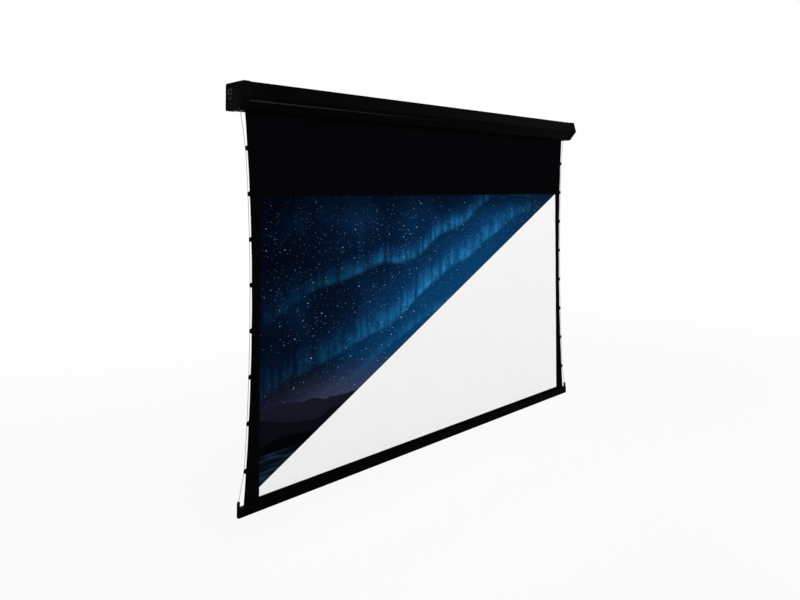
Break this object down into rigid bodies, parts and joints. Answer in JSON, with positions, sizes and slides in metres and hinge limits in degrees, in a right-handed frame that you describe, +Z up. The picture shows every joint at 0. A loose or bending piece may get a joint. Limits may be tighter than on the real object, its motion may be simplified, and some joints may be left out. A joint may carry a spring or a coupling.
{
  "type": "motorised tab tension projection screen",
  "caption": "Wall-hung projection screen: long black case with a roller, black-bordered white cloth pulled flat by side cords and tabs, and a weight bar below.",
  "frame": {"origin": "middle of the centre wall bracket's back face, in the plane of the wall", "axes": "+X along the case towards the idler end, +Y into the wall, +Z up; the picture faces -Y"},
  "size_m": [2.9606, 0.1897, 2.1241],
  "materials": {
    "case_black": "satin black powder coat on extruded aluminium",
    "cap_black": "fine-grained moulded plastic",
    "black_cloth": "matt black coated cloth",
    "white_cloth": "matt white projection cloth",
    "cord_grey": "braided cord",
    "zinc_steel": "zinc plated",
    "bare_aluminium": "mill finish",
    "spring_steel": "oiled spring steel",
    "inner_plastic": "glass filled nylon",
    "lead_rubber": "matt"
  },
  "bodies": {
    "case_body": {"case_housing": "case_black", "end_cap_left": "cap_black", "end_cap_right": "cap_black", "motor_plate": "zinc_steel", "idler_plate": "zinc_steel", "idler_bush": "inner_plastic", "wall_bracket_left": "zinc_steel", "wall_bracket_centre": "zinc_steel", "wall_bracket_right": "zinc_steel", "motor_head": "inner_plastic", "motor_body": "zinc_steel", "socket_panel": "cap_black", "power_inlet": "inner_plastic", "control_jacks": "inner_plastic", "control_box": "inner_plastic", "supply_lead": "lead_rubber", "motor_lead": "lead_rubber", "masking_cloth": "black_cloth", "viewing_cloth": "white_cloth", "tension_cord_left": "cord_grey", "tension_cord_right": "cord_grey", "tab_left_1": "black_cloth", "tab_left_2": "black_cloth", "tab_left_3": "black_cloth", "tab_left_4": "black_cloth", "tab_left_5": "black_cloth", "tab_left_6": "black_cloth", "tab_left_7": "black_cloth", "tab_left_8": "black_cloth", "tab_right_1": "black_cloth", "tab_right_2": "black_cloth", "tab_right_3": "black_cloth", "tab_right_4": "black_cloth", "tab_right_5": "black_cloth", "tab_right_6": "black_cloth", "tab_right_7": "black_cloth", "tab_right_8": "black_cloth"},
    "roller_body": {"roller_tube": "bare_aluminium", "cloth_spline": "inner_plastic", "dead_turns": "black_cloth", "motor_shaft": "spring_steel", "drive_wheel": "inner_plastic", "limit_crown": "inner_plastic", "idler_plug": "inner_plastic", "idler_pin": "spring_steel"},
    "bar_body": {"weight_bar": "case_black", "bar_cap_left": "cap_black", "bar_cap_right": "cap_black", "hem_rod": "zinc_steel", "ballast": "zinc_steel", "tension_spring_left": "spring_steel", "tension_spring_right": "spring_steel", "cord_ferrule_left": "bare_aluminium", "cord_ferrule_right": "bare_aluminium"},
    "button_body": {"program_button": "inner_plastic"}
  },
  "joints": [
    {"name": "bar_slide", "type": "slide", "parent": "case_body", "child": "bar_body", "axis": [0, 0, 1], "range_m": [0, 1.903], "deforming": ["masking_cloth", "viewing_cloth", "tension_cord_left", "tension_cord_right", "tab_left_1", "tab_left_2", "tab_left_3", "tab_left_4", "tab_left_5", "tab_left_6", "tab_left_7", "tab_left_8", "tab_right_1", "tab_right_2", "tab_right_3", "tab_right_4", "tab_right_5", "tab_right_6", "tab_right_7", "tab_right_8"]},
    {"name": "roller_turn", "type": "hinge", "parent": "case_body", "child": "roller_body", "pos_m": [0, -0.1273, 0.006], "axis": [1, 0, 0], "range_deg": [0, 2872]},
    {"name": "button_press", "type": "slide", "parent": "case_body", "child": "button_body", "axis": [1, 0, 0], "range_m": [0, 0.0015], "stiffness_N_per_m": 400, "springref_m": -0.001}
  ],
  "couplings": [
    {"joint": "roller_turn", "follows": "bar_slide", "rad_per_m": 26.3}
  ]
}
